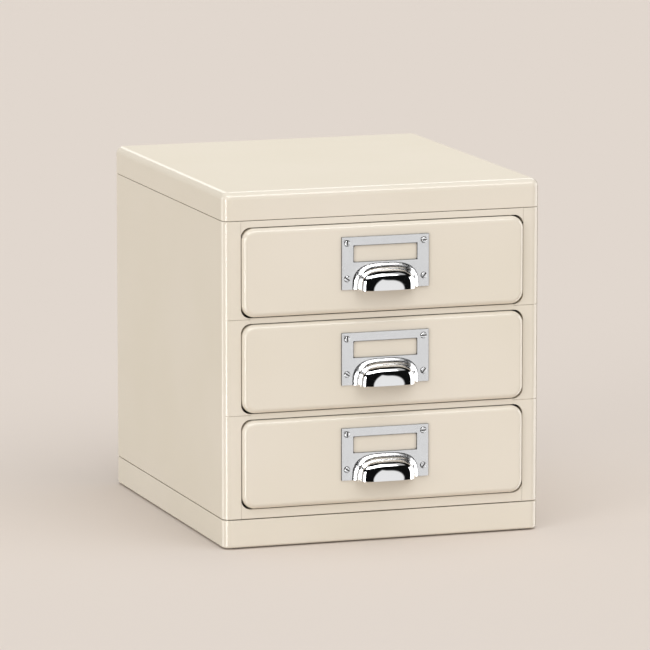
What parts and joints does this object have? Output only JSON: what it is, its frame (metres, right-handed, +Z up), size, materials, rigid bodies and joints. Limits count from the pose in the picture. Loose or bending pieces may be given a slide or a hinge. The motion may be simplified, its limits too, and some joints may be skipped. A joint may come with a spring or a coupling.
{
  "type": "desktop filing cabinet",
  "caption": "Low steel desktop cabinet with stacked sliding drawers for paper, a rounded cap and plinth, and chrome label pulls with a finger hood.",
  "frame": {"origin": "under the middle of the whole cabinet, pulls and rear screw heads included, on the surface that it stands on", "axes": "+X to the viewer's right across the front, +Y from the front to the back, +Z up"},
  "size_m": [0.3, 0.3606, 0.3225],
  "materials": {
    "cream_paint": "satin gloss cream enamel",
    "polished_chrome": "polished",
    "zinc_steel": "zinc plated",
    "white_nylon": "moulded",
    "black_rubber": "matt"
  },
  "bodies": {
    "case": {"base_plinth": "cream_paint", "rubber_feet": "black_rubber", "back_panel": "cream_paint", "top_cap": "cream_paint", "top_rail": "cream_paint", "bottom_rail": "cream_paint", "upper_divider_rail": "cream_paint", "lower_divider_rail": "cream_paint", "runner_screws": "zinc_steel", "back_screws": "zinc_steel", "cap_screws": "zinc_steel", "plinth_screws": "zinc_steel", "left_side_panel": "cream_paint", "left_front_post": "zinc_steel", "left_rear_post": "zinc_steel", "bottom_left_runner": "white_nylon", "middle_left_runner": "white_nylon", "top_left_runner": "white_nylon", "right_side_panel": "cream_paint", "right_front_post": "zinc_steel", "right_rear_post": "zinc_steel", "bottom_right_runner": "white_nylon", "middle_right_runner": "white_nylon", "top_right_runner": "white_nylon"},
    "bottom_drawer": {"bottom_drawer_front": "cream_paint", "bottom_drawer_backing": "cream_paint", "bottom_drawer_box": "cream_paint", "bottom_drawer_glides": "white_nylon", "bottom_drawer_rivets": "zinc_steel", "bottom_label_pull": "polished_chrome", "bottom_label_pull_screws": "polished_chrome", "bottom_label_pull_nuts": "zinc_steel"},
    "middle_drawer": {"middle_drawer_front": "cream_paint", "middle_drawer_backing": "cream_paint", "middle_drawer_box": "cream_paint", "middle_drawer_glides": "white_nylon", "middle_drawer_rivets": "zinc_steel", "middle_label_pull": "polished_chrome", "middle_label_pull_screws": "polished_chrome", "middle_label_pull_nuts": "zinc_steel"},
    "top_drawer": {"top_drawer_front": "cream_paint", "top_drawer_backing": "cream_paint", "top_drawer_box": "cream_paint", "top_drawer_glides": "white_nylon", "top_drawer_rivets": "zinc_steel", "top_label_pull": "polished_chrome", "top_label_pull_screws": "polished_chrome", "top_label_pull_nuts": "zinc_steel"}
  },
  "joints": [
    {"name": "bottom_drawer_slide", "type": "slide", "parent": "case", "child": "bottom_drawer", "axis": [0, -1, 0], "range_m": [0, 0.277]},
    {"name": "middle_drawer_slide", "type": "slide", "parent": "case", "child": "middle_drawer", "axis": [0, -1, 0], "range_m": [0, 0.277]},
    {"name": "top_drawer_slide", "type": "slide", "parent": "case", "child": "top_drawer", "axis": [0, -1, 0], "range_m": [0, 0.277]}
  ]
}
